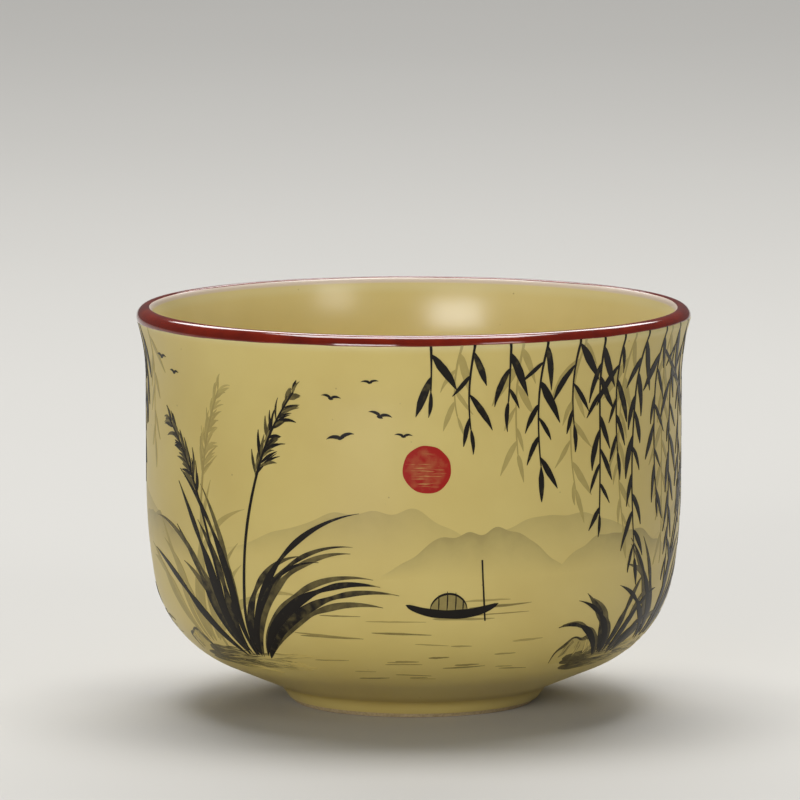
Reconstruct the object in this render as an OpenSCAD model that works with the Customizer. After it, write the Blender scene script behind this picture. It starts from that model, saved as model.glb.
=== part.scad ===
// Round tea cup without a handle: a thrown clay bowl on a luted foot ring, under separate
// coats of glaze, with an enamel band round the lip. Millimetres, +Z up, with the origin
// on the table at the centre of the foot. Every piece is turned about the Z axis.

/* [Cup] */
// Outer diameter across the lip
lip_d = 85; // [76:0.5:96]
// Height from the table to the top of the lip
cup_h = 61; // [54:0.5:72]

/* [Lip] */
// How far the lip flares out past the wall
lip_flare = 1.4; // [0.8:0.1:2.4]
// Height of the flared stretch, down from the top of the lip
flare_h = 11; // [8:0.5:16]
// Radius of the lip's outer edge
lip_outer_r = 1.6; // [1.2:0.1:2.2]
// Radius of the lip's inner edge
lip_inner_r = 0.9; // [0.6:0.1:1.2]

/* [Wall] */
// Height of the straight stretch below the flare
straight_h = 16; // [6:0.5:20]
// Radius of the slow bow below the straight stretch
bow_r = 90; // [70:1:200]
// Radius of the knee where the wall turns under
knee_r = 17.5; // [14:0.5:21]
// Slope of the belly from the knee to the foot, in degrees from level
belly_slope = 23; // [17:0.5:28]
// Thickness of the wall with its glaze
wall_t = 2.8; // [2.2:0.1:4]
// Thickness of the floor with its glaze, at its centre
floor_t = 3; // [2.4:0.1:4]

/* [Foot] */
// Outer diameter of the foot where it meets the belly
foot_top_d = 41.4; // [37:0.2:45]
// Outer diameter of the foot at the table
foot_base_d = 37.6; // [34:0.2:41]
// Height of the foot below the belly
foot_h = 2.6; // [2:0.1:4.5]
// Width of the foot ring at the table
foot_w = 3.2; // [2.4:0.1:5]
// Bevel on both edges of the standing face
foot_edge = 0.4; // [0.2:0.1:0.6]
// Height of the bare clay at the bottom of the foot
bare_h = 0.7; // [0.6:0.1:1.4]

/* [Coats] */
// Thickness of the glaze and of the enamel
glaze_t = 0.3; // [0.2:0.05:0.5]
// Where the band ends outside, in degrees above the lip's widest point
band_low_angle = -5; // [-12:1:30]
// Where the band ends inside, in degrees round the lip from the same point
band_in_angle = 125; // [100:5:150]

/* [Hidden] */
$fn = 96;

// Greatest distance between an arc and its chords
chord_tol = 0.01;

// Colours of the fired clay, the glaze and the enamel
clay_colour = "#C8B48C";
glaze_colour = "#D6C27C";
enamel_colour = "#761608";

// The lip is two arcs that meet at its top
lip_top_r = lip_d / 2 - lip_outer_r;
lip_outer_c = [lip_top_r, cup_h - lip_outer_r];
lip_inner_c = [lip_top_r, cup_h - lip_inner_r];

// Outer flare: starts upright on the wall and touches the lip's outer arc
wall_r = lip_d / 2 - lip_flare;
flare_z = cup_h - flare_h;
flare_dx = wall_r - lip_top_r;
flare_dz = lip_outer_c.y - flare_z;
flare_r = (flare_dx ^ 2 + flare_dz ^ 2 - lip_outer_r ^ 2) / (2 * lip_flare);
flare_c = [wall_r + flare_r, flare_z];
lip_lean = atan2(flare_dz, flare_r + flare_dx);

// Inner flare: starts upright on the well and touches the lip's inner arc
well_r = wall_r - wall_t;
well_dx = lip_top_r - well_r;
well_dz = lip_inner_c.y - flare_z;
well_flare_r = (well_dx ^ 2 + well_dz ^ 2 - lip_inner_r ^ 2) / (2 * (well_dx - lip_inner_r));
well_flare_c = [well_r + well_flare_r, flare_z];
well_lean = atan2(well_dz, well_flare_r - well_dx);

// Outward normals of the belly's slope and of the foot's side, which meet at the foot's corner
belly_n = [sin(belly_slope), -cos(belly_slope)];
foot_lean = atan2((foot_top_d - foot_base_d) / 2, foot_h);
foot_n = [cos(foot_lean), -sin(foot_lean)];
foot_corner = [foot_top_d / 2, foot_h];

// Bow and knee: the bow is upright at its top, and the knee touches the bow and the belly
bow_z = flare_z - straight_h;
bow_c = [wall_r - bow_r, bow_z];
belly_turn = 90 - belly_slope;
knee_reach = belly_n * (foot_corner - bow_c) - knee_r;
knee_turn = belly_turn - acos(knee_reach / (bow_r - knee_r));
knee_c = polar(bow_c, bow_r - knee_r, -knee_turn);

// Clay seat of the foot ring, underside and floor
seat_r = clay_corner(glaze_t).x;
seat_z = clay_corner(glaze_t).y;
floor_z = seat_z - glaze_t + floor_t;

// The well runs parallel to the bow and the knee, and ends in a shallow dish
well_knee_r = knee_r - wall_t;
well_drop = knee_c.y - floor_z;
dish_r = (knee_c.x ^ 2 + well_drop ^ 2 - well_knee_r ^ 2) / (2 * (well_drop - well_knee_r));
dish_c = [0, floor_z + dish_r];
dish_turn = atan2(dish_c.y - knee_c.y, knee_c.x);

// Foot ring: its standing face and its bore
foot_base_r = seat_r - seat_z * tan(foot_lean);
bore_r = foot_base_r - foot_w;

// Point at an angle round a centre
function polar(c, r, angle) = [c.x + r * cos(angle), c.y + r * sin(angle)];

// Number of chords that keep an arc within chord_tol
function arc_count(r, sweep) = max(2, ceil(abs(sweep) / (2 * acos(1 - min(chord_tol / r, 0.1)))));

// Points along an arc, without its first one
function arc_after(c, r, from, to) =
    let (count = arc_count(r, to - from))
    [for (i = [1:count]) polar(c, r, i == count ? to : from + (to - from) * i / count)];

// The same points from last to first
function reversed(points) = [for (i = [len(points) - 1:-1:0]) points[i]];

// Corner between the belly and the foot's side, both set in by inset
function clay_corner(inset) = foot_corner - inset * (belly_n + foot_n) / (1 + belly_n * foot_n);

// Outside of the bowl from the foot's corner up to the band
function wall_path(inset) = concat(
    [clay_corner(inset), polar(knee_c, knee_r - inset, -belly_turn)],
    arc_after(knee_c, knee_r - inset, -belly_turn, -knee_turn),
    arc_after(bow_c, bow_r - inset, -knee_turn, 0),
    [[wall_r - inset, flare_z]],
    arc_after(flare_c, flare_r + inset, 180, 180 - lip_lean),
    arc_after(lip_outer_c, lip_outer_r - inset, -lip_lean, band_low_angle)
);

// Over the lip from the band's outer edge to its inner edge
function band_path(inset) = concat(
    [polar(lip_outer_c, lip_outer_r - inset, band_low_angle)],
    arc_after(lip_outer_c, lip_outer_r - inset, band_low_angle, 90),
    arc_after(lip_inner_c, lip_inner_r - inset, 90, band_in_angle)
);

// Inside of the bowl from the band down to the middle of the floor
function well_path(inset) = concat(
    [polar(lip_inner_c, lip_inner_r - inset, band_in_angle)],
    arc_after(lip_inner_c, lip_inner_r - inset, band_in_angle, 180 - well_lean),
    arc_after(well_flare_c, well_flare_r - inset, 180 - well_lean, 180),
    [[well_r + inset, bow_z]],
    arc_after(bow_c, bow_r - wall_t + inset, 0, -knee_turn),
    arc_after(knee_c, well_knee_r + inset, -knee_turn, -dish_turn),
    arc_after(dish_c, dish_r + inset, -dish_turn, -90)
);

// Point on the foot's side at a height, set in by inset
function foot_side(inset, z) =
    let (top = clay_corner(inset))
    [top.x - (top.y - z) * tan(foot_lean), z];

// Thrown bowl with a flat base, bare under its coats
module clay_body() {
    clay_band = band_path(glaze_t);
    clay_well = well_path(glaze_t);
    color(clay_colour)
    rotate_extrude()
    polygon(concat(
        [[0, seat_z]],
        wall_path(glaze_t),
        [for (i = [1:len(clay_band) - 1]) clay_band[i]],
        [for (i = [1:len(clay_well) - 1]) clay_well[i]]
    ));
}

// Turned ring that the bowl stands on, with its standing face left bare
module foot_ring() {
    color(clay_colour)
    rotate_extrude()
    polygon([
        [bore_r, seat_z],
        [bore_r, foot_edge],
        [bore_r + foot_edge, 0],
        [foot_base_r - foot_edge, 0],
        foot_side(glaze_t, foot_edge),
        [seat_r, seat_z]
    ]);
}

// Glaze outside, from just above the table up to the band
module outer_glaze() {
    color(glaze_colour)
    rotate_extrude()
    polygon(concat(
        [foot_side(0, bare_h)],
        wall_path(0),
        reversed(wall_path(glaze_t)),
        [foot_side(glaze_t, bare_h)]
    ));
}

// Glaze inside, from the band down over the floor
module inner_glaze() {
    color(glaze_colour)
    rotate_extrude()
    polygon(concat(well_path(glaze_t), reversed(well_path(0))));
}

// Glaze under the base and down the bore of the foot ring
module base_glaze() {
    color(glaze_colour)
    rotate_extrude()
    polygon([
        [0, seat_z],
        [bore_r, seat_z],
        [bore_r, bare_h],
        [bore_r - glaze_t, bare_h],
        [bore_r - glaze_t, seat_z - glaze_t],
        [0, seat_z - glaze_t]
    ]);
}

// Enamel band over the lip
module rim_band() {
    color(enamel_colour)
    rotate_extrude()
    polygon(concat(band_path(0), reversed(band_path(glaze_t))));
}

clay_body();
foot_ring();
outer_glaze();
inner_glaze();
base_glaze();
rim_band();
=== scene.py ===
"""Round tea cup: glaze coats, enamel band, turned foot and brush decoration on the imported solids."""
import math

import bpy
import numpy as np
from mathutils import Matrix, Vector


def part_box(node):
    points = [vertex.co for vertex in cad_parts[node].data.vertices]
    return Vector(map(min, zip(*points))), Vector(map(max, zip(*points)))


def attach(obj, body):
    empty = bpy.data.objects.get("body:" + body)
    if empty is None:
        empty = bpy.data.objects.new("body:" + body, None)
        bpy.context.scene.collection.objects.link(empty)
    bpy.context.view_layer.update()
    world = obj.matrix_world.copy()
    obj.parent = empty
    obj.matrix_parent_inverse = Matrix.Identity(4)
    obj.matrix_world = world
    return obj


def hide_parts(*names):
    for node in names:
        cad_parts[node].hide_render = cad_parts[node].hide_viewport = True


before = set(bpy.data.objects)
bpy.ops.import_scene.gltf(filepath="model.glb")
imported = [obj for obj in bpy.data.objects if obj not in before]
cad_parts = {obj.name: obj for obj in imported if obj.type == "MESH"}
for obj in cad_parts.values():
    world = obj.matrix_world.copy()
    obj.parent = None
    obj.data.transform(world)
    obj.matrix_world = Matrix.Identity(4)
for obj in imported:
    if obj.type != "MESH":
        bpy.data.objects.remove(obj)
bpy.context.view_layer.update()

# Chance in the drawing, drawn in one order from one seed, so that every run is alike
rng = np.random.default_rng(23)

# A millimetre in metres
MM = 0.001

# Sizes in millimetres and degrees, the same as the solids have
LIP_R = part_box("rim_band")[1].x / MM
CUP_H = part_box("rim_band")[1].z / MM
LIP_FLARE = 1.4
FLARE_H = 11
LIP_OUTER_R = 1.6
LIP_INNER_R = 0.9
STRAIGHT_H = 16
BOW_R = 90
KNEE_R = 17.5
BELLY_SLOPE = 23
WALL_T = 2.8
FLOOR_T = 3
FOOT_TOP_R = 20.7
FOOT_BASE_R = 18.8
FOOT_H = 2.6
FOOT_W = 3.2
BARE_H = 0.7
GLAZE_T = 0.3
BAND_IN_ANGLE = 125

# Sizes that only the eye meets: the fillet of glaze above the foot, and how far the glaze lies
# below true round on the lip
FOOT_FILLET_R = 2.2
LIP_GLAZE_DIP = 0.05

# Steps round a turned piece
TURNS = 360


def arc(centre, radius, start, end, side, count):
    """Rows of (r, z, normal r, normal z) round a circle, from one angle to another in degrees.
    side is 1 where the clay lies towards the centre, and -1 where it lies beyond the arc."""
    angle = np.radians(np.linspace(start, end, count))
    unit = np.column_stack((np.cos(angle), np.sin(angle)))
    return np.hstack((np.asarray(centre) + radius * unit, side * unit))


def line(first, last, count):
    """Rows along a straight stretch. The normal is its direction turned a quarter clockwise."""
    first, last = np.asarray(first, float), np.asarray(last, float)
    along = (last - first) / np.linalg.norm(last - first)
    share = np.linspace(0, 1, count)[:, None]
    normal = np.broadcast_to((along[1], -along[0]), (count, 2))
    return np.hstack((first + share * (last - first), normal))


def polar(centre, radius, angle):
    """Point at an angle in degrees round a centre."""
    turn = math.radians(angle)
    return np.array((centre[0] + radius * math.cos(turn), centre[1] + radius * math.sin(turn)))


def cup_section():
    """The glazed surface in one half section, from the glaze line on the foot up the outside,
    over the lip and down the inside to the middle of the floor. Every stretch is a circle or a
    straight line that touches the next one. Returns its rows, the number of the row where each
    stretch ends, the wall's radius, the foot ring's seat on the clay, and the foot's lean."""
    lip_top_r = LIP_R - LIP_OUTER_R
    outer_c = (lip_top_r, CUP_H - LIP_OUTER_R)
    inner_c = (lip_top_r, CUP_H - LIP_INNER_R)
    wall_r = LIP_R - LIP_FLARE
    flare_z = CUP_H - FLARE_H
    dx, dz = wall_r - lip_top_r, outer_c[1] - flare_z
    flare_r = (dx ** 2 + dz ** 2 - LIP_OUTER_R ** 2) / (2 * LIP_FLARE)
    lean = math.degrees(math.atan2(dz, flare_r + dx))
    well_r = wall_r - WALL_T
    well_dx, well_dz = lip_top_r - well_r, inner_c[1] - flare_z
    well_flare_r = (well_dx ** 2 + well_dz ** 2 - LIP_INNER_R ** 2) / (2 * (well_dx - LIP_INNER_R))
    well_lean = math.degrees(math.atan2(well_dz, well_flare_r - well_dx))

    slope = math.radians(BELLY_SLOPE)
    foot_lean = math.atan2(FOOT_TOP_R - FOOT_BASE_R, FOOT_H)
    belly_n = np.array((math.sin(slope), -math.cos(slope)))
    foot_n = np.array((math.cos(foot_lean), -math.sin(foot_lean)))
    corner = np.array((FOOT_TOP_R, FOOT_H))
    bow_z = flare_z - STRAIGHT_H
    bow_c = np.array((wall_r - BOW_R, bow_z))
    belly_turn = 90 - BELLY_SLOPE
    reach = belly_n @ (corner - bow_c) - KNEE_R
    knee_turn = belly_turn - math.degrees(math.acos(reach / (BOW_R - KNEE_R)))
    knee_c = polar(bow_c, BOW_R - KNEE_R, -knee_turn)

    mitre = (belly_n + foot_n) / (1 + belly_n @ foot_n)
    seat = corner - GLAZE_T * mitre
    floor_z = seat[1] - GLAZE_T + FLOOR_T
    well_knee_r = KNEE_R - WALL_T
    drop = knee_c[1] - floor_z
    dish_r = (knee_c[0] ** 2 + drop ** 2 - well_knee_r ** 2) / (2 * (drop - well_knee_r))
    dish_c = (0, floor_z + dish_r)
    dish_turn = math.degrees(math.atan2(dish_c[1] - knee_c[1], knee_c[0]))

    fillet_c = corner + FOOT_FILLET_R * mitre
    foot_angle = math.degrees(math.atan2(-foot_n[1], -foot_n[0]))
    belly_angle = math.degrees(math.atan2(-belly_n[1], -belly_n[0]))
    fillet = arc(fillet_c, FOOT_FILLET_R, foot_angle, belly_angle, -1, 8)
    glaze_line = corner - (FOOT_H - BARE_H) * np.array((math.tan(foot_lean), 1))
    stretches = {
        "foot": line(glaze_line, fillet[0, :2], 8),
        "fillet": fillet,
        "belly": line(fillet[-1, :2], polar(knee_c, KNEE_R, -belly_turn), 12),
        "knee": arc(knee_c, KNEE_R, -belly_turn, -knee_turn, 1, 40),
        "bow": arc(bow_c, BOW_R, -knee_turn, 0, 1, 20),
        "straight": line((wall_r, bow_z), (wall_r, flare_z), 16),
        "flare": arc((wall_r + flare_r, flare_z), flare_r, 180, 180 - lean, -1, 20),
        "lip_outside": arc(outer_c, LIP_OUTER_R, -lean, 90, 1, 28),
        "lip_inside": arc(inner_c, LIP_INNER_R, 90, 180 - well_lean, 1, 20),
        "well_flare": arc((well_r + well_flare_r, flare_z), well_flare_r, 180 - well_lean, 180, 1, 20),
        "well": line((well_r, flare_z), (well_r, bow_z), 16),
        "well_bow": arc(bow_c, BOW_R - WALL_T, 0, -knee_turn, -1, 16),
        "well_knee": arc(knee_c, well_knee_r, -knee_turn, -dish_turn, -1, 40),
        "dish": arc(dish_c, dish_r, -dish_turn, -90, -1, 24),
    }
    rows, ends = [next(iter(stretches.values()))[:1]], {}
    for name, stretch in stretches.items():
        rows.append(stretch[1:])
        ends[name] = sum(len(part) for part in rows) - 1
    return np.vstack(rows), ends, wall_r, seat, foot_lean


SECTION, ENDS, WALL_R, (SEAT_R, SEAT_Z), FOOT_LEAN = cup_section()
STANDING_R = SEAT_R - SEAT_Z * math.tan(FOOT_LEAN)
BORE_R = STANDING_R - FOOT_W
STEPS = np.linalg.norm(np.diff(SECTION[:, :2], axis=0), axis=1)
ALONG = np.concatenate(((0,), np.cumsum(STEPS)))
LIP_TOP = ALONG[ENDS["lip_outside"]]
DRAW_BASE = ALONG[ENDS["fillet"]]

# Angles of the turned pieces, as a column, and no lift at any of them
ROUND = np.linspace(0, 2 * np.pi, TURNS, endpoint=False)[:, None]
LEVEL = np.zeros((TURNS, 1))


def ahead_of(rows):
    """Direction of the section at its rows: the normal turned a quarter anticlockwise."""
    return np.stack((-rows[..., 3], rows[..., 2]), axis=-1)


def section_at(along):
    """Rows of the section at distances along it, in millimetres from the glaze line. Between two
    rows it is the cubic curve that leaves one and meets the other square to their normals."""
    first = np.clip(np.searchsorted(ALONG, along, side="right") - 1, 0, len(STEPS) - 1)
    step = STEPS[first][..., None]
    share = (np.asarray(along)[..., None] - ALONG[first][..., None]) / step
    here, there = SECTION[first], SECTION[first + 1]
    ease = share ** 2 * (3 - 2 * share)
    leave, meet = share * (1 - share) ** 2 * step, share ** 2 * (share - 1) * step
    spot = here[..., :2] + ease * (there - here)[..., :2]
    spot = spot + leave * ahead_of(here) + meet * ahead_of(there)
    normal = here[..., 2:] + share * (there - here)[..., 2:]
    return np.concatenate((spot, normal / np.linalg.norm(normal, axis=-1, keepdims=True)), axis=-1)


def ripple(phi, along):
    """Lift of the glaze from true round, never above it: a few slow waves round and up the wall,
    under a tenth of a millimetre, which die out towards the middle of the floor, and a thinner
    skin close to the lip, where glaze runs away."""
    calm_over, thin_over, drop = 15, 4.5, 0.05
    waves = 0.020 * np.sin(2 * phi + 0.6) + 0.012 * np.sin(5 * phi + along / 9)
    waves = waves + 0.010 * np.sin(3 * phi - along / 6 + 1.3)
    waves = waves + 0.008 * np.sin(along / 2.6 + 2 * np.sin(phi))
    calm = np.clip((ALONG[-1] - along) / calm_over, 0, 1)
    thin = np.exp(-((along - LIP_TOP) / thin_over) ** 2)
    return (waves * calm - drop) * (1 - thin) - LIP_GLAZE_DIP * thin


def lifted(rows, lift):
    """r and z of the section's rows, moved along their normals by a lift. A lift with a row for
    each angle gives a row for each angle."""
    return rows[..., 0] + lift * rows[..., 2], rows[..., 1] + lift * rows[..., 3]


def place(phi, r, z):
    """Points in metres at angles round the cup from the front, positive to the right."""
    return np.stack((r * np.sin(phi), -r * np.cos(phi), z * np.ones_like(phi)), axis=-1) * MM


def put(name, data):
    """New object in the scene that holds a mesh, a lamp or a lens."""
    holder = bpy.data.objects.new(name, data)
    bpy.context.scene.collection.objects.link(holder)
    return holder


def make_piece(name, points, faces, material, slot, replaced=None, sharp=40):
    """Mesh object from points and faces, smooth except at edges sharper than the given angle."""
    mesh = bpy.data.meshes.new(name)
    mesh.from_pydata(points.tolist(), [], faces)
    mesh.polygons.foreach_set("use_smooth", np.ones(len(mesh.polygons), bool))
    mesh.set_sharp_from_angle(angle=math.radians(sharp))
    mesh.materials.append(material)
    piece = put(name, mesh)
    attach(piece, "root")
    if replaced:
        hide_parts(replaced)
    return piece


def turned(r, z, closed):
    """A section carried round the axis: r and z have a row for each angle and a column for each
    point. A closed section joins its last point to its first; an open one starts and ends in a
    pole on the axis. Returns points and faces, which look outwards when the section runs so that
    its outside lies to the right."""
    points = place(ROUND * np.ones_like(r), r, z)
    rings = points if closed else points[:, 1:-1]
    index = np.arange(rings[..., 0].size).reshape(rings.shape[:2])
    ahead = np.roll(index, -1, axis=0)
    quads = np.stack((index, ahead, np.roll(ahead, -1, axis=1), np.roll(index, -1, axis=1)), axis=-1)
    if closed:
        return rings.reshape(-1, 3), quads.reshape(-1, 4).tolist()
    first, last = np.full(TURNS, index.size), np.full(TURNS, index.size + 1)
    start = np.stack((first, ahead[:, 0], index[:, 0]), axis=-1)
    end = np.stack((index[:, -1], ahead[:, -1], last), axis=-1)
    poles = points[:, (0, -1)].mean(axis=0)
    faces = quads[:, :-1].reshape(-1, 4).tolist() + start.tolist() + end.tolist()
    return np.vstack((rings.reshape(-1, 3), poles)), faces


def glaze_face(first, last):
    """r and z of the rippled glaze over a run of the section's rows, for every angle."""
    rows, along = SECTION[first:last], ALONG[first:last]
    return lifted(rows, ripple(ROUND, along[None, :]))


def clay_face(first, last, step=4):
    """r and z of the clay under the glaze, on every fourth row and the last one, backwards."""
    chosen = np.unique(np.concatenate((np.arange(first, last, step), (last - 1,))))[::-1]
    return lifted(SECTION[chosen], LEVEL - GLAZE_T)


def linear(code):
    """Linear colour with alpha 1 from an sRGB hex code."""
    parts = np.array([int(code[i:i + 2], 16) for i in (1, 3, 5)]) / 255
    light = np.where(parts <= 0.04045, parts / 12.92, ((parts + 0.055) / 1.055) ** 2.4)
    return (*light.tolist(), 1.0)


def add(tree, kind, out=0, settings=None, **inputs):
    """Adds a shader node, whose kind goes without its ShaderNode prefix, sets its properties, fills
    its inputs with values or links, and returns one of its outputs. An input goes by its name, with
    _ for a space, or by its number, as in n7."""
    made = tree.nodes.new("ShaderNode" + kind)
    for key, value in (settings or {}).items():
        setattr(made, key, value)
    for key, value in inputs.items():
        numbered = key[0] == "n" and key[1:].isdigit()
        socket = made.inputs[int(key[1:]) if numbered else key.replace("_", " ")]
        if isinstance(value, bpy.types.NodeSocket):
            tree.links.new(value, socket)
        else:
            socket.default_value = value
    return made.outputs[out] if made.outputs else None


def new_material(name):
    """An empty node material, with its tree and its object coordinates."""
    material = bpy.data.materials.new(name)
    material.use_nodes = True
    material.node_tree.nodes.clear()
    coords = add(material.node_tree, "TexCoord", "Object")
    return material, material.node_tree, coords


def per_metre(size_mm):
    """Texture scale whose pattern repeats about every size_mm."""
    return 1 / (size_mm * MM)


# Settings that many nodes share
COLOURS = {"data_type": "RGBA"}
SMOOTH = {"interpolation_type": "SMOOTHSTEP"}

# Roughness of the outer glaze with the pigment fired into it, and of the inner glaze
SATIN = 0.38
SOFT_GLOSS = 0.24

# Streaks of the brush's hairs to a millimetre, along a stroke and across it, with the third axis
# unused, and blots to a millimetre
STREAKS = (0.22, 5.0, 1.0)
BLOTS = 0.6

# Colours of the finishes
GLAZE_PALE = linear("#D1BD72")
GLAZE_DEEP = linear("#C9B368")
# The same glaze inside, painted paler than outside as painted light, so that the inside shows brighter
INSIDE_LIT_PALE = linear("#D9C88C")
INSIDE_LIT_DEEP = linear("#D2C080")
# Glaze paler just under the band
GLAZE_UNDER_BAND_PALE = linear("#DACF9C")
# Painted highlight on the lip's inner edge, partly glaze breaking thin over it
GLAZE_EDGE_AND_HIGHLIGHT = linear("#D6C6B8")
# Painted shade in the corner above the foot, where the glaze also pools thick
GLAZE_POOL_AND_SHADE = linear("#AC9348")
SPECK = linear("#7A6232")
ENAMEL = linear("#7A1C04")
ENAMEL_DARK = linear("#5A0E04")
ENAMEL_THIN = linear("#963A12")
CLAY = linear("#C9B590")
CLAY_DARK = linear("#A48C64")
INK = linear("#110B05")
RED = linear("#9E150C")
PAPER = linear("#C4C2BD")
PAPER_SHADE = linear("#C0BEB9")


def glaze_colour(tree, coords, pale, deep):
    """Colour of the yellow glaze: slow mottling, a few pinhole specks, paler just under the band,
    nearly white on the lip's inner edge, partly where it breaks thin and partly as a painted
    highlight, and darker and olive in the corner above the foot, partly where it pools thick and
    partly as painted shade."""
    cloud = add(tree, "TexNoise", "Fac", Vector=coords, Scale=per_metre(16), Detail=3.0, Roughness=0.5)
    share = add(tree, "MapRange", Value=cloud, From_Min=0.3, From_Max=0.7)
    body = add(tree, "Mix", 2, COLOURS, n0=share, n6=deep, n7=pale)
    height = add(tree, "SeparateXYZ", "Z", Vector=coords)
    # Heights at which each change starts and is complete, and how far it goes
    ramps = (
        # Paler just under the band; then the lip's inner edge nearly white, partly glaze breaking thin and
        # partly a painted highlight
        (CUP_H - 2.8, CUP_H - 1.4, 0.5), (CUP_H - 1.05, CUP_H - 0.7, 0.95),
        # Darker and olive in the corner above the foot: pooled glaze and painted shade
        (FOOT_H + 1.5, FOOT_H + 0.3, 1.0), (FOOT_H - 1.2, FOOT_H - 0.1, 0.6),
    )
    thin, breaking_and_highlight, pool_shade_top, pool_shade_foot = [
        add(tree, "MapRange", 0, SMOOTH, Value=height, From_Min=low * MM, From_Max=high * MM, To_Max=most)
        for low, high, most in ramps
    ]
    # Share of painted shade and pooled glaze in the corner above the foot
    pool = add(tree, "Math", 0, {"operation": "MULTIPLY"}, n0=pool_shade_top, n1=pool_shade_foot)
    for change, tone in ((thin, GLAZE_UNDER_BAND_PALE), (breaking_and_highlight, GLAZE_EDGE_AND_HIGHLIGHT), (pool, GLAZE_POOL_AND_SHADE)):
        body = add(tree, "Mix", 2, COLOURS, n0=change, n6=body, n7=tone)
    pinholes = add(tree, "TexVoronoi", "Distance", Vector=coords, Scale=per_metre(3.6))
    speck = add(tree, "MapRange", Value=pinholes, From_Min=0.05, From_Max=0.02, To_Max=0.6)
    return add(tree, "Mix", 2, COLOURS, n0=speck, n6=body, n7=SPECK)


def glaze_normal(tree, coords, swell_depth=0.03, peel_depth=0.0025):
    """Normal of fired glaze: a faint orange-peel of about a millimetre over longer swells."""
    swells = add(tree, "TexNoise", "Fac", Vector=coords, Scale=per_metre(7), Detail=2.0)
    peel = add(tree, "TexNoise", "Fac", Vector=coords, Scale=per_metre(0.9), Detail=2.0)
    low = add(tree, "Bump", Height=swells, Strength=1.0, Distance=swell_depth * MM)
    return add(tree, "Bump", Height=peel, Strength=1.0, Distance=peel_depth * MM, Normal=low)


def glaze_material(name, pale, deep, roughness):
    """Pale yellow stoneware glaze, dipped and fired: opaque and satin, with a soft broad sheen."""
    material, tree, coords = new_material(name)
    surface = add(
        tree, "BsdfPrincipled", Base_Color=glaze_colour(tree, coords, pale, deep),
        Normal=glaze_normal(tree, coords), Roughness=roughness, IOR=1.5,
    )
    add(tree, "OutputMaterial", Surface=surface)
    return material


def enamel_material():
    """Ox-blood red enamel, a lead-rich glass brushed on and fired: deep, with brighter glints than
    the glaze has, darker where it lies thick, and a little browner where the brush ran thin."""
    material, tree, coords = new_material("oxblood_enamel")
    load = add(tree, "TexNoise", "Fac", Vector=coords, Scale=per_metre(6), Detail=4.0, Roughness=0.6)
    thick = add(tree, "MapRange", Value=load, From_Min=0.4, From_Max=0.75)
    colour = add(tree, "Mix", 2, COLOURS, n0=thick, n6=ENAMEL, n7=ENAMEL_DARK)
    thin = add(tree, "MapRange", Value=load, From_Min=0.4, From_Max=0.25, To_Max=0.5)
    colour = add(tree, "Mix", 2, COLOURS, n0=thin, n6=colour, n7=ENAMEL_THIN)
    surface = add(
        tree, "BsdfPrincipled", Base_Color=colour,
        Normal=glaze_normal(tree, coords, swell_depth=0.006, peel_depth=0.0012),
        Roughness=0.09, IOR=1.65,
    )
    add(tree, "OutputMaterial", Surface=surface)
    return material


def clay_material():
    """Bare stoneware, turned and fired without glaze: matte, sandy and slightly gritty."""
    material, tree, coords = new_material("bare_stoneware")
    grit = add(tree, "TexNoise", "Fac", Vector=coords, Scale=per_metre(0.5), Detail=6.0, Roughness=0.7)
    share = add(tree, "MapRange", Value=grit, From_Min=0.35, From_Max=0.7)
    colour = add(tree, "Mix", 2, COLOURS, n0=share, n6=CLAY, n7=CLAY_DARK)
    rough = add(tree, "Bump", Height=grit, Strength=1.0, Distance=0.04 * MM)
    surface = add(tree, "BsdfPrincipled", Base_Color=colour, Normal=rough, Roughness=0.85, IOR=1.5)
    add(tree, "OutputMaterial", Surface=surface)
    return material


def brush_material(name, pigment, shine):
    """Pigment brushed on the glaze and fired in: a full brush gives dense colour, a wash lets the
    glaze through, and a dry brush leaves streaks along its way. The film carries how much pigment
    and how dry a brush it has, and its length and width in millimetres as the map called brush."""
    material, tree, coords = new_material(name)
    amount = add(tree, "Attribute", "Fac", {"attribute_name": "pigment"})
    dryness = add(tree, "Attribute", "Fac", {"attribute_name": "dryness"})
    place_mm = add(tree, "UVMap", 0, {"uv_map": "brush"})
    hairs = add(tree, "Mapping", Vector=place_mm, Scale=STREAKS)
    streak = add(tree, "TexNoise", "Fac", Vector=hairs, Scale=1.0, Detail=3.0, Roughness=0.6)
    edge = add(tree, "Math", 0, {"operation": "MULTIPLY_ADD"}, n0=dryness, n1=0.62, n2=0.06)
    over = add(tree, "Math", 0, {"operation": "SUBTRACT"}, n0=streak, n1=edge)
    wet = add(tree, "MapRange", Value=over, From_Min=-0.06, From_Max=0.10)
    blot = add(tree, "TexNoise", "Fac", Vector=place_mm, Scale=BLOTS, Detail=3.0)
    pool = add(tree, "MapRange", Value=blot, From_Min=0.3, From_Max=0.7, To_Min=0.9, To_Max=1.1)
    shown = add(tree, "Math", 0, {"operation": "MULTIPLY"}, n0=amount, n1=wet)
    shown = add(tree, "Math", 0, {"operation": "MULTIPLY", "use_clamp": True}, n0=shown, n1=pool)
    glaze = glaze_colour(tree, coords, GLAZE_PALE, GLAZE_DEEP)
    colour = add(tree, "Mix", 2, COLOURS, n0=shown, n6=glaze, n7=pigment)
    surface = add(
        tree, "BsdfPrincipled", Base_Color=colour, Normal=glaze_normal(tree, coords),
        Roughness=SATIN, IOR=1.5, Specular_IOR_Level=shine,
    )
    add(tree, "OutputMaterial", Surface=surface)
    return material


OUTER_GLAZE = glaze_material("satin_yellow_glaze", GLAZE_PALE, GLAZE_DEEP, SATIN)
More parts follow.
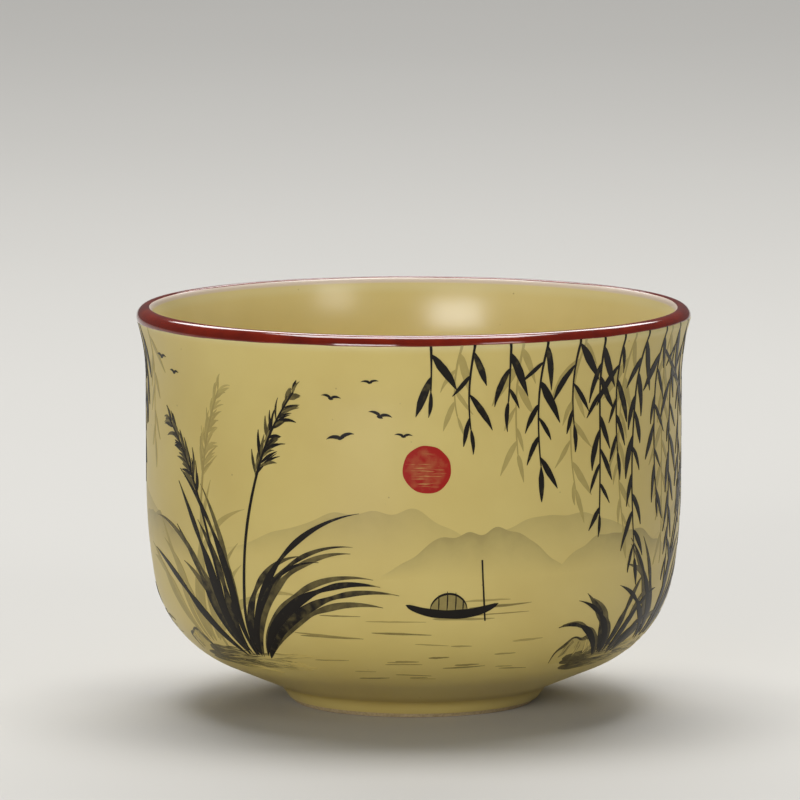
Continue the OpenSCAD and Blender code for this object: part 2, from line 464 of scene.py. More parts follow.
# Inside: a softer gloss, and the glaze's colours painted paler as painted light
INNER_GLAZE = glaze_material("soft_gloss_yellow_glaze_painted_paler", INSIDE_LIT_PALE, INSIDE_LIT_DEEP, SOFT_GLOSS)
ENAMEL_GLAZE = enamel_material()
STONEWARE = clay_material()
INK_BRUSH = brush_material("fired_ink", INK, shine=0.25)
INK_WASH = brush_material("fired_ink_wash", INK, shine=0.5)
RED_BRUSH = brush_material("fired_red", RED, shine=0.25)


def outer_glaze():
    """Outside coat from the glaze line on the foot up under the band, as a closed shell."""
    rows_short_of_top = 8
    last = ENDS["lip_outside"] - rows_short_of_top
    r, z = np.concatenate((glaze_face(0, last), clay_face(0, last)), axis=2)
    shell = turned(r, z, closed=True)
    make_piece("outer_glaze_coat", *shell, OUTER_GLAZE, "pale_glaze", "outer_glaze")


def inner_glaze():
    """Inside coat from under the band down over the floor, as a closed shell with two poles."""
    rows_past_top = 4
    first, last = ENDS["lip_outside"] + rows_past_top, len(SECTION)
    r, z = np.concatenate((clay_face(first, last), glaze_face(first, last)), axis=2)
    shell = turned(r, z, closed=False)
    make_piece("inner_glaze_coat", *shell, INNER_GLAZE, "pale_glaze", "inner_glaze")


def band_edge(phi):
    """Where the band's lower edge lies along the section. It wanders as a hand-brushed line does,
    and hangs lower at the left and back than at the front."""
    hang = 1.88 - 0.36 * np.sin(phi) - 0.40 * np.cos(phi) + 0.05 * np.sin(3 * phi + 1)
    hang = hang + 0.035 * np.sin(8 * phi + 2) + 0.02 * np.sin(19 * phi) + 0.012 * np.sin(43 * phi + 1)
    outside = slice(ENDS["straight"], ENDS["lip_outside"] + 1)
    return np.interp(CUP_H - hang, SECTION[outside, 1], ALONG[outside])


def rim_band():
    """Enamel over the lip, from its wandering lower edge to a nearly even edge just inside. Its
    section is the lip's, with both edges rolled down into the glaze."""
    count, roll, sunk, under_step = 56, 0.2, 0.10, 5
    low = band_edge(ROUND)
    turn_in = LIP_INNER_R * math.radians(BAND_IN_ANGLE - 90)
    high = LIP_TOP + turn_in + 0.05 * np.sin(5 * ROUND + 0.4) + 0.03 * np.sin(13 * ROUND)
    along = low + (high - low) * np.linspace(0, 1, count)
    rows = section_at(along)
    to_edge = np.minimum(along - low, high - along)
    face = lifted(rows, -sunk * np.clip(1 - to_edge / roll, 0, 1) ** 2)
    under = lifted(rows[:, ::-under_step], -GLAZE_T)
    r, z = np.concatenate((face, under), axis=2)
    shell = turned(r, z, closed=True)
    make_piece("rim_enamel_band", *shell, ENAMEL_GLAZE, "rim_enamel", "rim_band")


def foot_ring():
    """Turned clay ring: a straight bore, a round edge, a standing face with fine turning grooves,
    a round edge that touches the leaning side, and that side up to the seat of the bowl."""
    edge, groove_pitch, groove_depth = 0.35, 0.42, 0.04
    outer_c = (STANDING_R + edge * math.tan(FOOT_LEAN) - edge / math.cos(FOOT_LEAN), edge)
    bore = line((BORE_R, SEAT_Z), (BORE_R, edge), 6)
    inner_edge = arc((BORE_R + edge, edge), edge, 180, 270, 1, 8)
    face = line((BORE_R + edge, 0), (outer_c[0], 0), 90)
    from_ends = np.minimum(face[:, 0] - face[0, 0], face[-1, 0] - face[:, 0])
    groove = groove_depth / 2 * (1 + np.sin(face[:, 0] * 2 * np.pi / groove_pitch))
    face[:, 1] += groove * np.minimum(1, from_ends / groove_pitch)
    outer_edge = arc(outer_c, edge, 270, 360 - math.degrees(FOOT_LEAN), 1, 8)
    side = line(outer_edge[-1, :2], (SEAT_R, SEAT_Z), 8)
    seat = line((SEAT_R, SEAT_Z), (BORE_R, SEAT_Z), 6)
    rows = np.vstack((bore, inner_edge[1:], face[1:], outer_edge[1:], side[1:], seat[1:-1]))
    ring = turned(*lifted(rows, LEVEL), closed=True)
    make_piece("turned_foot_ring", *ring, STONEWARE, "stoneware", "foot_ring", sharp=50)


def base_glaze():
    """Glaze under the base: a disc with faint turning rings, a fillet where it pools against the
    bore, and a skin down the bore with a round lower edge."""
    pool, ring_depth, ring_pitch, calm_r = 0.6, 0.012, 1.7, 3
    under = SEAT_Z - GLAZE_T
    skin_r = BORE_R - GLAZE_T
    disc = line((0, under), (skin_r - pool, under), 70)
    rings = ring_depth * np.sin(disc[:, 0] * 2 * np.pi / ring_pitch)
    disc[:, 1] += rings * np.minimum(1, disc[:, 0] / calm_r)
    fillet = arc((skin_r - pool, under - pool), pool, 90, 0, -1, 10)
    bead_r = GLAZE_T / 2
    skin = line((skin_r, under - pool), (skin_r, BARE_H + bead_r), 4)
    bead = arc((BORE_R - bead_r, BARE_H + bead_r), bead_r, 180, 360, 1, 9)
    back = line((BORE_R, BARE_H + bead_r), (BORE_R, SEAT_Z), 4)
    top = line((BORE_R, SEAT_Z), (0, SEAT_Z), 8)
    rows = np.vstack((disc, fillet[1:], skin[1:], bead[1:], back[1:], top[1:]))
    shell = turned(*lifted(rows, LEVEL), closed=False)
    make_piece("base_glaze_coat", *shell, OUTER_GLAZE, "pale_glaze", "base_glaze")


outer_glaze()
inner_glaze()
rim_band()
foot_ring()
base_glaze()
clay_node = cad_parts["clay_body"]
clay_node.data.materials.clear()
clay_node.data.materials.append(STONEWARE)


# The drawing on the wall is made of brush strokes, each a thin film of pigment. Its places are
# (u, v) in millimetres: u runs round the wall from the front, positive to the right, and v runs
# up the wall from the top of the foot's fillet, so the band's edge is near 67.

# How far a film sinks into the glaze, and how far it stands off it. Where two cross, the higher
# one shows.
SINK = 0.02
FAR_WASH_LIFT = 0.0055
NEAR_WASH_LIFT = 0.020
GREY_LIFT = 0.030
SHORE_LIFT = 0.044
INK_LIFT = 0.058

# Layers within a plant, as shares of its lift
BROAD = 0.9
MIDDLE = 1.15
DARK = 1.3
TOP = 1.44

# Least half width of a stroke, pigment of a full brush, and how far a stroke runs under the band
THINNEST = 0.035
FULL = 1.12
TUCK = 0.12


def on_wall(spots, lift):
    """Points of the drawing on the rippled glaze, lifted off it, and less so close to the lip."""
    thin_over, thinnest = 5, 0.4
    phi, along = spots[..., 0] / WALL_R, DRAW_BASE + spots[..., 1]
    rise = ripple(phi, along) + lift * np.clip((LIP_TOP - along) / thin_over, thinnest, 1)
    return place(phi, *lifted(section_at(along), rise))


def film(right, left, lift, pigment, dryness=0.0, across=4):
    """Closed film between two edges that run side by side, as rows of (u, v). Its top is crowned
    across its width, and its underside lies in the glaze. Pigment and dryness are numbers, columns
    along the film, or grids along it and across it from right to left. Lift is a number, or a row
    across it. Each film reads its own far-off place in the brush's pattern."""
    edge_lift, crown_lift, far_off = 0.94, 0.24, 300
    share = np.linspace(0, 1, across)
    spots = right[:, None] + share[:, None] * (left - right)[:, None]
    crown = lift * (edge_lift + crown_lift * share * (1 - share))
    ring = np.concatenate((on_wall(spots, crown), on_wall(spots[:, ::-1], -SINK)), axis=1)
    index = np.arange(ring.shape[0] * ring.shape[1]).reshape(ring.shape[:2])
    beside = np.roll(index, -1, axis=1)
    sides = np.stack((index[:-1], index[1:], beside[1:], beside[:-1]), axis=-1).reshape(-1, 4)
    top, under = index[:, :across], index[:, :across - 1:-1]
    start = np.column_stack((top[0, :-1], top[0, 1:], under[0, 1:], under[0, :-1]))
    end = np.column_stack((under[-1, :-1], under[-1, 1:], top[-1, 1:], top[-1, :-1]))
    middle = (right + left) / 2
    length = np.concatenate(((0,), np.cumsum(np.linalg.norm(np.diff(middle, axis=0), axis=1))))
    width = np.linalg.norm(left - right, axis=1)
    grid = np.ones((len(right), across))
    layers = np.stack((
        pigment * grid, dryness * grid,
        length[:, None] * grid + rng.uniform(0, far_off),
        width[:, None] * (share - 0.5) + rng.uniform(0, far_off),
    ), axis=-1)
    layers = np.concatenate((layers, layers[:, ::-1]), axis=1)
    return ring.reshape(-1, 3), np.vstack((sides, start, end)), layers.reshape(-1, 4)


def left_of(path):
    """Unit vectors that point to the left of a path, square to it all along."""
    step = np.gradient(path, axis=0)
    return np.column_stack((-step[:, 1], step[:, 0])) / np.linalg.norm(step, axis=1, keepdims=True)


def stroke(path, half, lift, pigment, dryness=0.0, across=4, waver=0.06):
    """Brush stroke: a film that reaches half its width to each side of a path, with edges that
    waver on their own as a hand's do, by a slow and a quick wave each."""
    t = np.linspace(0, 1, len(path))
    phase = rng.uniform(0, 2 * np.pi, (4, 1))
    slow, quick = np.sin(9 * t + phase[:2]), np.sin(23 * t + phase[2:])
    right, left = np.maximum(half, THINNEST) * (1 + waver * (slow + 0.6 * quick))
    aside = left_of(path)
    right_edge, left_edge = path - right[:, None] * aside, path + left[:, None] * aside
    return film(right_edge, left_edge, lift, pigment, dryness, across)


def swell(count, peak=0.4, fullness=0.85):
    """Width along a stroke as a share: from a point up to 1 at peak, and back to a point."""
    t = np.linspace(0, 1, count)
    return np.sin(np.pi * t ** (math.log(0.5) / math.log(peak))) ** fullness


def grown(start, length, heading, turn, count, pace=1.5):
    """Path that grows from a start. Its heading, in degrees clockwise from straight up, changes by
    turn over its length, later rather than sooner as pace rises."""
    t = (np.arange(count - 1) + 0.5) / (count - 1)
    angle = np.radians(heading + turn * t ** pace)
    steps = np.column_stack((np.sin(angle), np.cos(angle))) * length / (count - 1)
    return np.asarray(start) + np.vstack((np.zeros(2), np.cumsum(steps, axis=0)))


def resampled(path, at, known):
    """Places on a path at given shares of it, where its own points lie at the known shares."""
    return np.array([np.interp(at, known, column) for column in path.T]).T


def drawn_piece(name, films, material, slot):
    """Joins films into one piece and gives it the layers that its brush material reads."""
    points, faces, layers = zip(*films)
    firsts = np.cumsum([0] + [len(part) for part in points[:-1]])
    faces = np.vstack([part + first for part, first in zip(faces, firsts)]).tolist()
    piece = make_piece(name, np.vstack(points), faces, material, slot)
    layers = np.vstack(layers)
    mesh = piece.data
    for column, layer in enumerate(("pigment", "dryness")):
        mesh.attributes.new(layer, "FLOAT", "POINT").data.foreach_set("value", layers[:, column])
    corners = np.empty(len(mesh.loops), int)
    mesh.loops.foreach_get("vertex_index", corners)
    mesh.uv_layers.new(name="brush").data.foreach_set("uv", layers[corners, 2:].ravel())


def under_band(u, above):
    """Height v at a distance above the band's lower edge."""
    return band_edge(u / WALL_R) - DRAW_BASE + above


def willow_twig(u, length, lean, pigment, lift):
    """Twig that hangs from under the band and swings back by twice its lean, with narrow leaves
    that hang to either side in turn and shorten towards its tip. Its places lie closest at its
    start, where it bends over the lip."""
    spacing, leaf_length, slimness, count, leaf_count = 2.7, 7.6, 0.082, 34, 10
    even = np.linspace(0, 1, count)
    crowded = even ** 1.8
    path = grown((u, under_band(u, TUCK)), length, 180 + lean, -2 * lean, count)
    path = resampled(path, crowded, even)
    films = [stroke(path, 0.22 - 0.12 * even, lift * DARK, pigment)]
    leaves = int(length / spacing)
    shares = np.append((np.arange(leaves) + rng.uniform(0.1, 0.6, leaves)) / leaves, 1)
    for number, share in enumerate(shares):
        base = resampled(path, share, crowded)
        side = 1 if number % 2 else -1
        spread = rng.uniform(22, 48) * (1 - 0.3 * share if share < 1 else 0.2)
        heading = 180 + lean * (1 - 2 * share) + side * spread
        size = leaf_length * rng.uniform(0.6, 1.15) * (1 - 0.3 * share)
        leaf = grown(base, size, heading, -side * rng.uniform(-8, 26), leaf_count)
        half = slimness * size * rng.uniform(0.8, 1.15) * swell(leaf_count, rng.uniform(0.34, 0.5))
        rise = lift * rng.uniform(DARK + 0.02, TOP)
        films.append(stroke(leaf, half, rise, pigment * rng.uniform(0.9, 1), 0.08, 3))
    return films


def bough(path, thick, thin, lift):
    """Trunk or bough that tapers along its path, up to where the band crops it: a broad stroke of
    a dry brush, a darker one down its shaded right side, both on a path of twice the points, and
    short dashes of bark."""
    shown = path[:, 1] < under_band(path[:, 0], -TUCK)
    if not shown.all():
        last = np.count_nonzero(shown) - 1
        rise = path[last + 1] - path[last]
        path[last] += rise * (under_band(path[last, 0], TUCK) - path[last, 1]) / rise[1]
    t = np.linspace(0, 1, len(path))
    knots = 1 + 0.14 * np.sin(11 * t + rng.uniform(0, 6)) + 0.08 * np.sin(27 * t + rng.uniform(0, 6))
    half = ((thick + (thin - thick) * t) / 2 * knots)[shown]
    path = path[shown]
    aside = left_of(path)
    shaded = path - 0.62 * half[:, None] * aside
    even, fine = np.arange(len(path)), np.linspace(0, len(path) - 1, 2 * len(path))
    half_fine = np.interp(fine, even, half)
    films = [stroke(resampled(path, fine, even), half_fine, lift * BROAD, 0.75, 0.50, 9, 0.08)]
    shaded = resampled(shaded, fine, even)
    films.append(stroke(shaded, 0.36 * half_fine, lift * DARK, FULL, 0.34, 6, 0.2))
    for spot in rng.integers(2, len(path) - 12, len(path) // 6):
        run = slice(spot, spot + rng.integers(5, 11))
        mark = path[run] - (rng.uniform(-0.85, 0.6) * half[run])[:, None] * aside[run]
        width = rng.uniform(0.1, 0.24) * swell(len(mark), 0.4, 0.6)
        films.append(stroke(mark, width, lift * DARK, FULL, 0.3, 3, 0.15))
    return films


def reed_leaf(base, length, heading, turn, half, pigment, lift):
    """Long leaf that arches over. It swells, thins where it twists, swells again and runs out to
    a point, and the brush dries towards its tip."""
    count = 45
    t = np.linspace(0, 1, count)
    twist = 1 - 0.5 * np.exp(-((t - rng.uniform(0.5, 0.68)) / 0.08) ** 2)
    width = half * swell(count, rng.uniform(0.34, 0.46), 0.9) * twist
    path = grown(base, length, heading, turn, count, rng.uniform(1.2, 2.0))
    dryness = (0.05 + 0.4 * t ** 3)[:, None]
    return stroke(path, width, lift, pigment * (1 - 0.12 * t)[:, None], dryness)


def reed_clump(root, reach, leaves, pigment, lift):
    """Leaves that fan out from one root, in three tones, of which the darkest lies on top. The
    outer ones lean and turn over more."""
    tones = (1, TOP), (0.82, 1), (0.91, MIDDLE)
    films = []
    for number, fan in enumerate(np.linspace(-1, 1, leaves)):
        base = (root[0] + 2.8 * fan + rng.uniform(-0.7, 0.7), root[1] + rng.uniform(-0.6, 0.9))
        length = reach * rng.uniform(0.6, 1.0) * (1 - 0.18 * abs(fan))
        heading = 34 * fan + rng.uniform(-9, 9)
        turn = np.sign(fan + 0.001) * rng.uniform(18, 82)
        half = rng.uniform(0.55, 0.92)
        tone, layer = tones[number % 3]
        rise = lift * layer * rng.uniform(1, 1.02)
        films.append(reed_leaf(base, length, heading, turn, half, pigment * tone, rise))
    return films


def reed_plume(root, length, heading, turn, pigment, lift):
    """Thin stem with a nodding head of short strokes that droop to both sides of its last third."""
    count, hairs, pace, head = 40, 46, 2.4, 0.66
    even = np.linspace(0, 1, count)
    path = grown(root, length, heading, turn, count, pace)
    films = [stroke(path, 0.30 - 0.16 * even, lift * TOP, pigment, 0.2)]
    for share in np.linspace(head, 1, hairs):
        start = resampled(path, share, even)
        side = rng.choice((-1, 1))
        way = heading + turn * share ** pace + side * rng.uniform(14, 40)
        size = rng.uniform(2.2, 4.6) * (1.15 - 0.5 * (share - head) / (1 - head))
        hair = grown(start, size, way, np.sign(turn) * rng.uniform(10, 50), 7)
        half = rng.uniform(0.16, 0.3) * swell(7, 0.45)
        films.append(stroke(hair, half, lift * rng.uniform(1, 1.1), pigment * rng.uniform(0.6, 1), 0.2, 3))
    return films


def shore(u, v, width, strokes, pigment, lift):
    """Bank of low, broad and dry strokes that lie along the water."""
    count = 60
    films = []
    for _ in range(strokes):
        size = width * rng.uniform(0.35, 0.9)
        start = (u + rng.uniform(-0.5, 0.5) * (width - size) - size / 2, v + rng.uniform(-2.2, 1.4))
        path = grown(start, size, 90 + rng.uniform(-5, 5), rng.uniform(-9, 9), count, 1.0)
        half = rng.uniform(0.35, 1.15) * swell(count, rng.uniform(0.2, 0.4), 0.5)
        dryness = np.linspace(rng.uniform(0.25, 0.5), 0.95, count)[:, None]
        films.append(stroke(path, half, lift * rng.uniform(1, 1.1), pigment, dryness, 6, 0.12))
    return films


def rock(u, v, width, height, pigment, lift):
    """Rock: a pale wash under a rough outline that presses down on its shaded side, with dry
    strokes down its face."""
    count = 40
    t = np.linspace(0, 1, count)
    rough = 1 + 0.10 * np.sin(7 * t + rng.uniform(0, 6)) + 0.06 * np.sin(19 * t + rng.uniform(0, 6))
    turn = np.pi * (1 - t)
    across_u = u + width / 2 * np.cos(turn) * rough
    outline = np.column_stack((across_u, v + height * np.sin(turn) ** 0.7 * rough))
    floor = np.column_stack((across_u, np.full(count, v - 0.3)))
    fade = np.linspace(0.1, 1, 6) * swell(count, 0.5, 0.4)[:, None]
    films = [film(floor, outline, NEAR_WASH_LIFT, 0.34 * pigment * fade, 0.3, 6)]
    half = 0.16 + 0.5 * np.exp(-((t - 0.72) / 0.16) ** 2) + 0.25 * np.exp(-((t - 0.2) / 0.1) ** 2)
    half = half * swell(count, 0.5, 0.3)
    films.append(stroke(outline, half, lift, pigment, 0.3 + 0.25 * t[:, None], 5, 0.14))
    for share in rng.uniform(0.25, 0.85, 6):
        start = outline[int(share * count)] - (0, 0.4)
        size = height * rng.uniform(0.4, 0.75)
        path = grown(start, size, 180 + rng.uniform(-35, 25), rng.uniform(-25, 25), 16)
        half = rng.uniform(0.3, 0.7) * swell(16, 0.3, 0.6)
        films.append(stroke(path, half, lift * 1.06, pigment * 0.8, rng.uniform(0.6, 0.85), 5, 0.15))
    return films


def hill(u, v, width, height, pigment, lift):
    """Hill: a wash that is full along its broken ridge and fades down into mist. Its foot is
    tucked into the glaze."""
    count, across = 80, 9
    t = np.linspace(0, 1, count)
    waves = sum(
        rng.uniform(0.3, 1) / number * np.sin(2 * np.pi * number * t + rng.uniform(0, 6))
        for number in range(2, 9)
    )
    ridge = v + height * swell(count, rng.uniform(0.35, 0.65), 1.1) * (1 + 0.22 * waves)
    across_u = u + width * (t - 0.5)
    top = np.column_stack((across_u, np.maximum(ridge, v + 0.05)))
    foot = np.column_stack((across_u, np.full(count, v - 0.6)))
    up = np.linspace(0, 1, across)
    fade = up ** 1.3 * swell(count, 0.5, 0.6)[:, None]
    tucked = np.where(up > 0, lift, -0.6 * SINK)
    return film(foot, top, tucked, pigment * fade, 0.16, across)


def ripples(u, v, width, lines, pigment, lift):
    """Thin level strokes on the water, dry at their ends."""
    films = []
    for _ in range(lines):
        size = rng.uniform(0.14, 0.36) * width
        start = (u + rng.uniform(-0.5, 0.5) * width - size / 2, v + rng.uniform(-1, 1) * 0.14 * width)
        path = grown(start, size, 90 + rng.uniform(-3, 3), rng.uniform(-4, 4), 20, 1.0)
        half = rng.uniform(0.09, 0.2) * swell(20, 0.4, 0.5)
        films.append(stroke(path, half, lift, pigment * rng.uniform(0.5, 1), 0.35, 3, 0.15))
    return films


def boat(u, v, pigment, lift):
    """Small empty boat: a long hull that rises at both ends, a low round mat roof with its hoops,
    and a mooring pole."""
    count, half_hull, sheer, half_depth = 30, 7.2, 1.5, 0.72
    roof_u, half_roof, roof_rise, hoop_rise = u - 0.6, 2.9, 2.5, 3.1
    t = np.linspace(-1, 1, count)
    hull = np.column_stack((u + half_hull * t, v + sheer * np.abs(t) ** 2.4))
    films = [stroke(hull, half_depth * np.maximum(1 - t ** 2, 0) ** 0.45, lift, pigment, 0.15, 5)]
    roof = np.column_stack((roof_u + half_roof * t, v + 0.7 + roof_rise * (1 - t ** 2) ** 0.6))
    deck = np.column_stack((roof[:, 0], np.full(count, v + 0.6)))
    films.append(film(deck, roof, lift * 0.8, 0.5 * pigment, 0.35, 5))
    films.append(stroke(roof, 0.17 * swell(count, 0.5, 0.3), lift, pigment, 0.2, 3))
    for share in (-0.55, -0.1, 0.35, 0.75):
        foot, size = (roof_u + half_roof * share, v + 0.5), hoop_rise * (1 - share ** 2) ** 0.6
        hoop = grown(foot, size, 4, -8, 8)
        films.append(stroke(hoop, 0.1 * swell(8, 0.5, 0.4), lift * 1.04, pigment, 0.2, 3))
    pole = grown((u + 5.2, v - 1.2), 9.5, -6, 3, 14)
    films.append(stroke(pole, np.full(14, 0.13), lift * 1.02, pigment, 0.3, 3))
    return films


def bird(u, v, span, bank, pigment, lift):
    """Bird on the wing: two curved strokes that meet at its body."""
    films = []
    for side in (-1, 1):
        wing = grown((u, v), span / 2, side * 52 + bank, side * 62, 12, 1.0)
        half = 0.26 * span / 4 * swell(12, 0.3, 0.8)
        films.append(stroke(wing, half, lift, pigment, 0.1, 3))
    body = grown((u - 0.13 * span, v - 0.01 * span), 0.26 * span, 90 + bank, 10, 8)
    films.append(stroke(body, 0.062 * span * swell(8, 0.45), lift * 1.03, pigment, 0.0, 3))
    return films


def sun(u, v, radius, lift):
    """Round sun swept on from side to side: a little uneven at its edge, where the pigment gathers,
    and thinner at its middle, where hairs of the brush leave streaks."""
    count, across = 90, 15
    turn = np.linspace(0.02, np.pi - 0.02, count)
    rim = radius * (1 + 0.012 * np.sin(3 * turn + 1) + 0.008 * np.sin(7 * turn))
    low = np.column_stack((u - rim * np.cos(turn), v - rim * np.sin(turn)))
    rim = radius * (1 + 0.012 * np.sin(2 * turn) + 0.008 * np.sin(9 * turn + 2))
    high = np.column_stack((u - rim * np.cos(turn), v + rim * np.sin(turn)))
    up = np.linspace(-1, 1, across) * np.sin(turn)[:, None]
    out = np.sqrt(up ** 2 + np.cos(turn)[:, None] ** 2)
    return film(low, high, lift, 0.90 + 0.16 * out ** 3, 0.44 - 0.3 * out ** 4, across)


def willow_tree(u):
    """Willow on the bank: roots that spread from a leaning trunk, which runs up to the band, and
    two boughs that leave it at one of its points, each with its path and its width at both ends."""
    base_u = u + 4
    trunk = grown((base_u, 14.5), 56, -14, 16, 110, 1.0)
    films = bough(trunk, 6.6, 3.6, INK_LIFT)
    boughs = (56, (34, -44, -14, 100), (2.8, 0.3)), (72, (26, 46, 6, 90), (2.2, 0.8))
    for point, path, widths in boughs:
        films += bough(grown(trunk[point], *path, 1.0), *widths, INK_LIFT)
    for across, heading in ((-2.6, 236), (-1.4, 204), (0.2, 178), (1.6, 150), (2.7, 118)):
        root = grown((base_u + across, 17), rng.uniform(5.5, 8), heading, rng.uniform(-30, 30), 24)
        half = np.linspace(rng.uniform(0.8, 1.2), 0.08, 24)
        films.append(stroke(root, half, INK_LIFT * rng.uniform(DARK, TOP), FULL, 0.42, 5, 0.15))
    return films


def willow_drawing():
    """Two willows, with twigs that hang from under the band in groups, dark near and grey far."""
    films = willow_tree(73) + willow_tree(-76)
    dark = (
        (3, 7), (9, 13), (15, 9), (20, 19), (25, 13), (30, 27), (35, 18), (40, 35), (46, 26),
        (52, 38), (58, 28), (65, 33), (84, 24), (91, 15), (96, 26), (102, 17), (108, 33),
        (114, 22), (120, 13), (-90, 8), (-85, 15), (-66, 30), (-61, 20), (-57, 12),
    )
    grey = (
        (6, 11), (17, 17), (27, 23), (37, 30), (49, 33), (88, 27), (99, 20), (111, 28),
        (-87, 12), (-69, 26), (-52, 17),
    )
    for twigs, least_lean, pigment, lift in ((dark, -5, FULL, INK_LIFT), (grey, 2, 0.36, GREY_LIFT)):
        for u, length in twigs:
            place_u, lean = u + rng.uniform(-1, 1), rng.uniform(least_lean, 14)
            films += willow_twig(place_u, length, lean, pigment, lift)
    drawn_piece("willow_brushwork", films, INK_BRUSH, "ink_print")


def reed_drawing():
    """Clumps of reeds on the banks, with plumes above the leaves, each from a root. A clump has a
    reach and a number of leaves, and a plume has a length, a heading and a turn."""
    dark, grey, grey_plume = (FULL, INK_LIFT), (0.4, GREY_LIFT), (0.42, GREY_LIFT)
    plants = (
        (reed_clump, (-39, 19), (30, 9), grey),
        (reed_clump, (-29, 17), (36, 17), dark),
        (reed_plume, (-29, 17), (44, 4, 34), dark),
        (reed_plume, (-31, 17), (40, -10, -44), dark),
        (reed_plume, (-36, 18), (41, -4, 30), grey_plume),
        (reed_clump, (38, 16), (17, 11), dark),
        (reed_clump, (50, 18), (24, 11), dark),
        (reed_plume, (50, 18), (30, 12, 40), dark),
        (reed_clump, (78, 17), (30, 13), dark),
        (reed_plume, (82, 17), (36, 8, 36), dark),
        (reed_clump, (-66, 16), (15, 9), dark),
        (reed_clump, (-96, 17), (34, 15), dark),
        (reed_clump, (-104, 18), (26, 8), grey),
        (reed_plume, (-96, 17), (44, 1, -30), dark),
        (reed_plume, (-98, 17), (39, -11, -34), dark),
    )
    films = []
    for plant, root, habit, ink in plants:
        films += plant(root, *habit, *ink)
    drawn_piece("reed_brushwork", films, INK_BRUSH, "ink_print")


def shore_drawing():
    """Banks and rocks that the reeds stand on, and ripples on the water between them."""
    ground = 15.5
    banks = (-31, 30), (43, 32), (80, 26), (-99, 30), (-70, 24)
    rocks = (30, 8, 5.4), (36, 6, 3.6), (57, 9, 6.0), (-44, 7, 4.2), (-83, 9, 5.5), (88, 7, 4.4)
    waters = (2, 24, 34), (12, 18, 22), (-6, 15, 18), (118, 22, 30), (-124, 18, 26), (-66, 20, 24)
    films = []
    for u, width in banks:
        films += shore(u, ground, width, 9, 0.85, SHORE_LIFT)
    for u, width, height in rocks:
        films += rock(u, ground, width, height, 0.92, SHORE_LIFT)
    for u, v, width in waters:
        films += ripples(u, v, width, 9, 0.62, GREY_LIFT)
    drawn_piece("shore_brushwork", films, INK_BRUSH, "ink_print")


def hill_drawing():
    """Hills beyond the water in two distances, each with the height of their foot, their pigment,
    their lift, and the share by which every second hill stands off the glaze more, so that of two
    that overlap, one lies on top."""
    far = (-10, 46, 7.5), (26, 40, 6), (-64, 44, 8), (70, 50, 7), (120, 44, 8), (-112, 48, 6)
    near = (10, 30, 7), (38, 30, 5), (-52, 30, 6), (94, 34, 7), (-92, 34, 7)
    distances = (far, 34.5, 0.24, FAR_WASH_LIFT, 1), (near, 32.0, 0.42, NEAR_WASH_LIFT, 0.25)
    films = []
    for hills, foot, tone, lift, more in distances:
        for number, (u, width, height) in enumerate(hills):
            films.append(hill(u, foot, width, height, tone, lift * (1 + more * (number % 2))))
    drawn_piece("hill_wash", films, INK_WASH, "ink_print")


def boat_and_birds():
    """A boat at its pole on the near water and another behind, and flocks over the hills."""
    films = boat(6, 26, FULL, INK_LIFT) + boat(-122, 26, FULL, INK_LIFT)
    flock = (-11, 52.5, 4.6), (-5, 56, 3.8), (-12.5, 58.5, 3.2), (-6.5, 61, 2.8), (-1.5, 53, 2.8)
    behind = (-119, 53, 4.4), (-120, 58, 3.6), (-111, 59.5, 3.2), (-117, 62, 2.8)
    pair = (-48, 62, 3.4), (-44, 60, 2.8)
    for u, v, span in flock + behind + pair:
        films += bird(u, v, span, rng.uniform(-14, 14), FULL, INK_LIFT)
    drawn_piece("boat_and_bird_brushwork", films, INK_BRUSH, "ink_print")


def sun_drawing():
    """One red sun over the water in front, and one behind."""
    films = [sun(u, 48, 3.6, GREY_LIFT) for u in (2, -128)]
    drawn_piece("sun_brushwork", films, RED_BRUSH, "red_print")


willow_drawing()
reed_drawing()
shore_drawing()
hill_drawing()
boat_and_birds()
sun_drawing()


# Studio: a pale floor, an even sky and soft boxes
def floor_material():
    """Matte pale paper."""
    material, tree, coords = new_material("pale_paper_floor")
    tone = add(tree, "TexNoise", "Fac", Vector=coords, Scale=per_metre(300), Detail=2.0)
    colour = add(tree, "Mix", 2, COLOURS, n0=tone, n6=PAPER_SHADE, n7=PAPER)
    surface = add(tree, "BsdfPrincipled", Base_Color=colour, Roughness=0.8)
    add(tree, "OutputMaterial", Surface=surface)
    return material


def studio_floor():
    """Flat sheet under the cup, four metres each way."""
    reach = 4.0
    corners = [(-reach, -reach, 0), (reach, -reach, 0), (reach, reach, 0), (-reach, reach, 0)]
    mesh = bpy.data.meshes.new("studio_floor")
    mesh.from_pydata(corners, [], [(0, 1, 2, 3)])
    mesh.materials.append(floor_material())
    sheet = put("studio_floor", mesh)


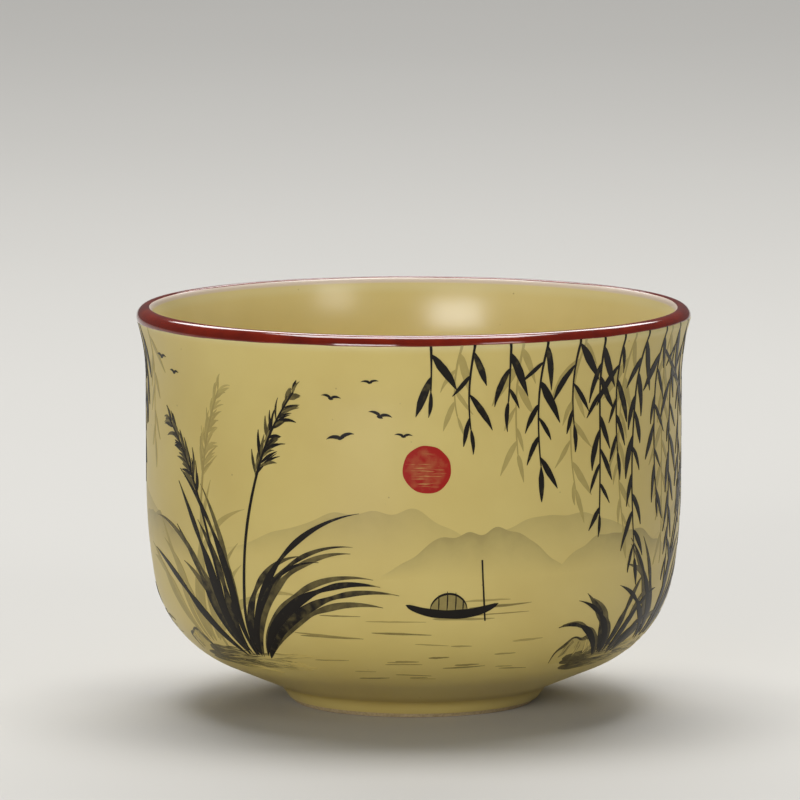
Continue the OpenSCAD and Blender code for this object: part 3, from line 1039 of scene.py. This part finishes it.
def soft_box(name, azimuth, elevation, distance, width, height, strength):
    """Area lamp that looks at the cup. Azimuth is from the camera's side, positive to the right,
    and strength is the brightness of its face, so its size and distance set how much light it
    gives."""
    middle = Vector((0, 0, CUP_H / 2 * MM))
    turn, rise = math.radians(azimuth), math.radians(elevation)
    way = Vector((math.sin(turn) * math.cos(rise), -math.cos(turn) * math.cos(rise), math.sin(rise)))
    lamp = bpy.data.lights.new(name, "AREA")
    lamp.shape = "RECTANGLE"
    lamp.size = width
    lamp.size_y = height
    lamp.energy = strength * math.pi * width * height
    holder = put(name, lamp)
    holder.location = middle + way * distance
    holder.rotation_euler = (-way).to_track_quat("-Z", "Y").to_euler()


def sky(strength):
    """Even white surroundings."""
    world = bpy.data.worlds.new("even_sky")
    world.use_nodes = True
    background = world.node_tree.nodes["Background"]
    background.inputs["Color"].default_value = linear("#FFFFFF")
    background.inputs["Strength"].default_value = strength
    bpy.context.scene.world = world


def camera():
    """Long lens at the photograph's viewing angle. The point of the cup's axis at target_z falls on
    pixel (axis_x, target_y) of the 800 by 800 frame, so the lens aims a little above it and to its
    left."""
    frame_px, sensor_mm = 800, 36
    axis_x, target_y, target_z = 413.6, 505.3, 30
    distance, elevation, focal_px = 1200, 7.86, 7803
    rise = math.radians(elevation)
    target = Vector((0, 0, target_z))
    eye = target + distance * Vector((0, -math.cos(rise), math.sin(rise)))
    px_mm = focal_px / distance
    up = Vector((0, math.sin(rise), math.cos(rise)))
    shift_up = (target_y - frame_px / 2) / px_mm
    shift_right = (frame_px / 2 - axis_x) / px_mm
    aim = target + up * shift_up + Vector((1, 0, 0)) * shift_right
    lens = bpy.data.cameras.new("camera")
    lens.sensor_width = sensor_mm
    lens.lens = focal_px / frame_px * sensor_mm
    lens.clip_start = 0.01
    lens.clip_end = 50
    holder = put("camera", lens)
    holder.location = eye * MM
    holder.rotation_euler = (aim - eye).to_track_quat("-Z", "Y").to_euler()
    bpy.context.scene.camera = holder


# Brightness of the sky, and of each soft box its azimuth and elevation in degrees, its distance,
# width and height in metres, and its brightness
SKY_STRENGTH = 0.11
SOFT_BOXES = {
    "overhead_box": (180, 76, 1.2, 1.0, 0.52, 8.8),
    "back_box": (180, 38, 5.0, 4.4, 1.4, 6.2),
    "front_left_box": (-20, 13, 1.3, 0.56, 0.40, 9.6),
    "front_right_box": (38, 24, 1.3, 0.36, 0.34, 4.6),
}

studio_floor()
sky(SKY_STRENGTH)
for box_name, setting in SOFT_BOXES.items():
    soft_box(box_name, *setting)
camera()
bpy.context.scene.view_settings.view_transform = "Standard"
